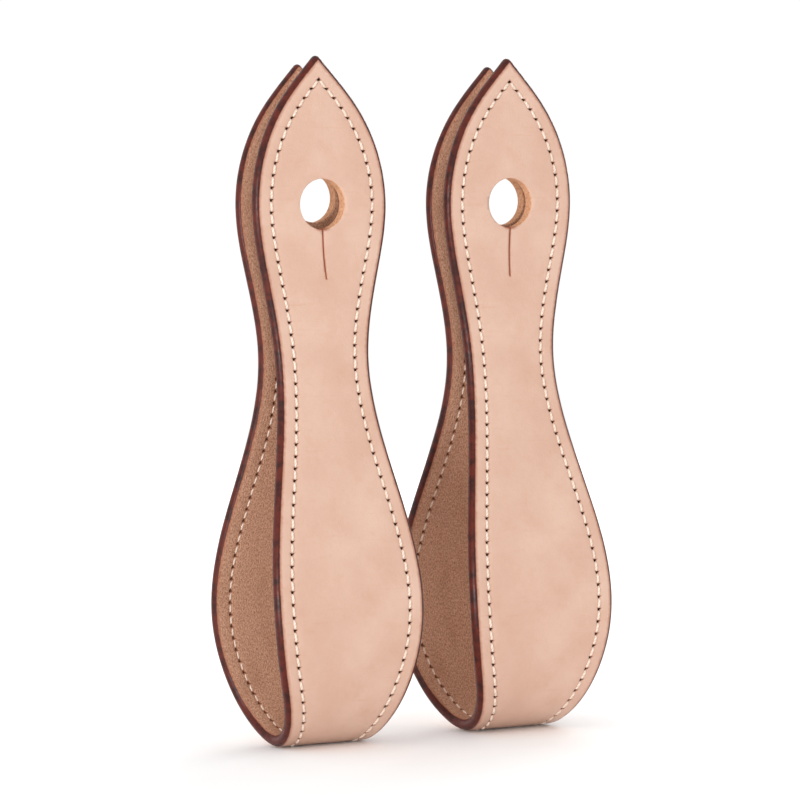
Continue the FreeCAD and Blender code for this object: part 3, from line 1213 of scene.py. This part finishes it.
@dataclass(frozen=True)
class WaxedThread:
    """Twisted cream thread, with painted shade between its strands."""

    name: str = "cream_thread"
    cream: Rgb = (236, 216, 200)
    # Painted shade of the grooves between the strands, also used for the thread's random duller
    # tone.
    twist_shade_and_mottle: Rgb = (204, 178, 158)
    twists: float = 3.0
    strands: float = 2.0

    def build(self) -> bpy.types.Material:
        """Lay out the thread's nodes.

        Returns:
            The material.
        """
        desk = NodeDesk(self.name)
        way = desk.tree.nodes.new("ShaderNodeUVMap")
        way.uv_map = "thread"
        split = desk.tree.nodes.new("ShaderNodeSeparateXYZ")
        desk.feed(split.inputs[0], way.outputs["UV"])
        turn = desk.math("ADD", desk.math("MULTIPLY", split.outputs["X"], self.strands),
                         desk.math("MULTIPLY", split.outputs["Y"], self.twists))
        groove = desk.math("MULTIPLY", desk.math("PINGPONG", turn, 0.5), 2.0)
        body = desk.math("POWER", groove, 0.5)
        coords = desk.tree.nodes.new("ShaderNodeTexCoord").outputs["Object"]
        fuzz = desk.noise(coords, 1900.0, 4.0, 0.7)
        # Painted shade: the grooves between the twisted strands are darker; the next mix gives a
        # random duller tone.
        colour = desk.mix(desk.fade(body, 0.1, 0.75), tone(*self.twist_shade_and_mottle), tone(*self.cream))
        colour = desk.mix(desk.fade(desk.noise(coords, 90.0, 2.0), 0.45, 0.75, 0.0, 0.35), colour,
                          tone(*self.twist_shade_and_mottle))
        desk.feed(desk.shader.inputs["Base Color"], colour)
        desk.feed(desk.shader.inputs["Roughness"], desk.fade(fuzz, 0.2, 0.8, 0.5, 0.75))
        desk.shader.inputs["Sheen Weight"].default_value = 0.15
        height = desk.math("MULTIPLY_ADD", fuzz, 0.25, body)
        desk.feed(desk.shader.inputs["Normal"], desk.bump(height, 0.00012))
        return desk.material


@dataclass(frozen=True)
class PaleFloor:
    """Plain matt studio floor."""

    name: str = "pale_floor"
    white: Rgb = (253, 253, 253)

    def build(self) -> bpy.types.Material:
        """Lay out the floor's nodes.

        Returns:
            The material.
        """
        desk = NodeDesk(self.name)
        desk.shader.inputs["Base Color"].default_value = tone(*self.white)
        desk.shader.inputs["Roughness"].default_value = 0.9
        return desk.material


@dataclass
class Finishes:
    """The materials that the pieces take."""

    leather: bpy.types.Material
    thread: bpy.types.Material


@dataclass
class Strap:
    """One slobber strap: three stretches of leather, each with its two runs of stitches.

    seam is the distance from the fold to the seams between the stretches. bend and fold_bend are
    not used.
    """

    side: Side
    sizes: StrapSizes
    leather: Leather
    finishes: Finishes
    seam: float = 91.0
    bend: float = 16.0
    fold_bend: float = 14.0

    # Distance that the hole and slit marks stop at, in millimetres.
    FAR = 20.0

    def __post_init__(self) -> None:
        """Lay out the strap's form."""
        self.form = StrapForm(self.leather, self.sizes)
        radius = self.leather.edge_radius
        self.spans = {
            Stretch.FRONT_SPADE: (-self.form.front_length - radius, -self.seam),
            Stretch.LOOP: (-self.seam, self.seam),
            Stretch.BACK_SPADE: (self.seam, self.form.back_length + radius),
        }

    def build(self) -> None:
        """Make and dress every piece of the strap."""
        for stretch, (begin, end) in self.spans.items():
            leather = self.make_leather(stretch, begin, end)
            pieces = [(leather, "body", "skirting_leather", self.finishes.leather)]
            for face, thread in ((Face.GRAIN, "needle_thread"), (Face.FLESH, "bobbin_thread")):
                name = f"{self.side.value}_{stretch.value}_{thread}"
                stitches = StitchRun(self.form, face, begin, end).build(name)
                pieces.append((stitches, thread, "cream_thread", self.finishes.thread))
            for piece, part, slot, material in pieces:
                piece.data.materials.append(material)
                self.attach(piece, stretch, part)
                LOG.info("%s: %d faces", piece.name, len(piece.data.polygons))

    def make_leather(self, stretch: Stretch, begin: float, end: float) -> bpy.types.Object:
        """Shape one stretch of leather and cut its openings.

        Args:
            stretch: which stretch.
            begin: where it begins along the leather.
            end: where it ends.

        Returns:
            The piece, marked for its material.
        """
        name = f"{self.side.value}_{stretch.value}_leather"
        piece = LeatherPiece(self.form, begin, end).build(name)
        hole = self.hole_of(stretch)
        if hole is not None:
            self.punch(piece, stretch, hole)
        self.mark(piece, stretch, hole)
        return piece

    def hole_of(self, stretch: Stretch) -> Hole | None:
        """Find the rein hole of a stretch.

        Args:
            stretch: which stretch.

        Returns:
            The hole, or None for the loop.
        """
        x = self.sizes.x
        if stretch is Stretch.FRONT_SPADE:
            return Hole(x, self.sizes.hole_z)
        if stretch is Stretch.BACK_SPADE:
            return Hole(x + self.sizes.back_hole_x, self.sizes.back_hole_z)
        return None

    def leaf_at(self, stretch: Stretch, height: float) -> tuple[float, float]:
        """Middle of a leaf at a height, and its lean.

        Args:
            stretch: the front or the back leaf.
            height: z in millimetres.

        Returns:
            y of the middle surface, and the lean off upright in radians.
        """
        form = self.form
        front = stretch is Stretch.FRONT_SPADE
        held = form.along < -self.seam if front else form.along > self.seam
        rows = form.path[held]
        row = int(np.abs(rows[:, 1] - height).argmin())
        _, ahead, _ = form.frame_at(form.along[held][row])
        lean = math.atan2(ahead[0, 0], abs(ahead[0, 1]))
        return float(rows[row, 0]), -lean if not front else lean

    def punch(self, piece: bpy.types.Object, stretch: Stretch, hole: Hole) -> None:
        """Cut the rein hole, and the slit below a front one.

        Args:
            piece: the leather.
            stretch: which stretch it is.
            hole: the hole's axis.
        """
        punch = HolePunch(self.leather)
        middle_y, lean = self.leaf_at(stretch, hole.z)
        punch.cut(piece, punch.round_cutter(hole, middle_y, lean))
        if stretch is Stretch.FRONT_SPADE:
            punch.cut(piece, punch.slit_cutter(hole, middle_y, self.sizes.slit_drift))
        for polygon in piece.data.polygons:
            polygon.use_smooth = True

    def mark(self, piece: bpy.types.Object, stretch: Stretch, hole: Hole | None) -> None:
        """Store where each point lies on the leather, for the material.

        Args:
            piece: the leather.
            stretch: which stretch it is.
            hole: its rein hole, if any.
        """
        mesh = piece.data
        points = np.empty(len(mesh.vertices) * 3)
        mesh.vertices.foreach_get("co", points)
        points = points.reshape(-1, 3) / MM
        marks = self.form.locate(points)
        marks["hole"] = marks["slit"] = np.full(len(points), self.FAR)
        if hole is not None:
            gap = np.hypot(points[:, 0] - hole.x, points[:, 2] - hole.z)
            marks["hole"] = np.clip(gap - self.leather.hole_radius, -1.0, self.FAR)
        if stretch is Stretch.FRONT_SPADE:
            marks["slit"] = self.slit_gap(points, hole)
        for name, values in marks.items():
            kind = "FLOAT_VECTOR" if values.ndim == 2 else "FLOAT"
            layer = mesh.attributes.new(name, kind, "POINT")
            layer.data.foreach_set("vector" if values.ndim == 2 else "value",
                                   values.astype(np.float32).ravel())

    def slit_gap(self, points: np.ndarray, hole: Hole) -> np.ndarray:
        """Measure the distance of points from the middle of the slit.

        Args:
            points: rows of x, y, z.
            hole: the hole above the slit.

        Returns:
            One distance for each, none past FAR.
        """
        size = self.leather
        top, bottom = size.slit_ends(hole.z)
        share = np.clip((top - points[:, 2]) / (top - bottom), 0.0, 1.0)
        line = hole.x + self.sizes.slit_drift * share - size.slit_bow * np.sin(np.pi * share)
        past = points[:, 2] - (top + (bottom - top) * share)
        return np.clip(np.hypot(points[:, 0] - line, past), 0.0, self.FAR)

    def attach(self, piece: bpy.types.Object, stretch: Stretch, part: str) -> None:
        """Bake the piece's placement into its mesh and hide the solids that it stands for.

        Args:
            piece: the leather or a run of stitches.
            stretch: which stretch it belongs to.
            part: body, needle_thread or bobbin_thread.
        """
        side = self.side.value
        if stretch is Stretch.LOOP:
            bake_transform(piece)
            stood_for = ("front_lower", "back_lower")
        else:
            leaf = "front" if stretch is Stretch.FRONT_SPADE else "back"
            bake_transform(piece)
            stood_for = (f"{leaf}_spade",)
        suffix = "" if part == "body" else f"_{part}"
        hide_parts(*(f"{side}_{name}{suffix}" for name in stood_for))


@dataclass
class Studio:
    """Floor, light and camera."""

    floor_z: float = -0.1803
    camera_turn: float = -30.0
    camera_rise: float = 2.3
    camera_roll: float = -0.75
    distance: float = 1.2835
    lens: float = 171.0
    target: tuple[float, float, float] = (0.0331, 0.00585, -0.0662)
    sensor: float = 36.0
    floor_radius: float = 9.0
    room_light: float = 1.03

    def build(self) -> None:
        """Set up everything round the object."""
        self.make_floor()
        self.light()
        self.make_camera()

    def make_floor(self) -> None:
        """Lay a wide round floor."""
        shape = bmesh.new()
        bmesh.ops.create_circle(shape, cap_ends=True, segments=64, radius=self.floor_radius)
        bmesh.ops.translate(shape, vec=(0.0, 0.0, self.floor_z), verts=shape.verts)
        mesh = bpy.data.meshes.new("floor")
        shape.to_mesh(mesh)
        shape.free()
        floor = bpy.data.objects.new("floor", mesh)
        bpy.context.scene.collection.objects.link(floor)
        mesh.materials.append(PaleFloor().build())

    def light(self) -> None:
        """Light from a white room, with a soft panel in front and one behind."""
        world = bpy.data.worlds.new("white room")
        world.use_nodes = True
        background = world.node_tree.nodes["Background"]
        background.inputs["Color"].default_value = (1.0, 1.0, 1.0, 1.0)
        background.inputs["Strength"].default_value = self.room_light
        bpy.context.scene.world = world
        self.panel("key panel", (-1.35, -0.8, -0.02), (0.5, 0.3), 11.5)
        self.panel("back panel", (1.2, 1.1, 0.5), (0.8, 0.9), 9.0)

    def panel(self, name: str, place: tuple[float, float, float], size: tuple[float, float],
              power: float) -> None:
        """Hang one light that faces the straps.

        Args:
            name: the light's name.
            place: where it hangs, in metres.
            size: width and height.
            power: watts.
        """
        lamp = bpy.data.lights.new(name, "AREA")
        lamp.shape = "RECTANGLE"
        lamp.size, lamp.size_y = size
        lamp.energy = power
        holder = bpy.data.objects.new(name, lamp)
        holder.location = place
        aim = Vector(self.target) - Vector(place)
        holder.rotation_euler = aim.to_track_quat("-Z", "Y").to_euler()
        bpy.context.scene.collection.objects.link(holder)

    def make_camera(self) -> None:
        """Stand the camera where the pair is seen from."""
        lens = bpy.data.cameras.new("camera")
        lens.sensor_width = self.sensor
        lens.lens = self.lens
        lens.clip_start = 0.05
        camera = bpy.data.objects.new("camera", lens)
        turn, rise = math.radians(self.camera_turn), math.radians(self.camera_rise)
        back = Vector((math.sin(turn) * math.cos(rise), -math.cos(turn) * math.cos(rise),
                       math.sin(rise)))
        camera.location = Vector(self.target) + back * self.distance
        facing = (-back).to_track_quat("-Z", "Y")
        roll = Quaternion((0.0, 0.0, 1.0), math.radians(self.camera_roll))
        camera.rotation_euler = (facing @ roll).to_euler()
        bpy.context.scene.collection.objects.link(camera)
        bpy.context.scene.camera = camera


LEFT_SIZES = StrapSizes(x=0.0, loop_half_gap=22.6, tip_shift=-1.2, slit_drift=1.5, hole_z=0.0,
                        back_hole_x=3.0, back_hole_z=2.4)
RIGHT_SIZES = StrapSizes(x=73.0, loop_half_gap=25.0, tip_shift=0.0, slit_drift=0.0, hole_z=0.0,
                         back_hole_x=4.2, back_hole_z=1.0)


def main() -> None:
    """Build the pair and its studio."""
    logging.basicConfig(level=logging.INFO, format="%(name)s: %(message)s")
    bpy.context.scene.view_settings.view_transform = "Standard"
    leather = Leather()
    finishes = Finishes(SkirtingLeather().build(), WaxedThread().build())
    for side, sizes in ((Side.LEFT, LEFT_SIZES), (Side.RIGHT, RIGHT_SIZES)):
        Strap(side, sizes, leather, finishes).build()
    Studio().build()


if __name__ == "__main__":
    main()
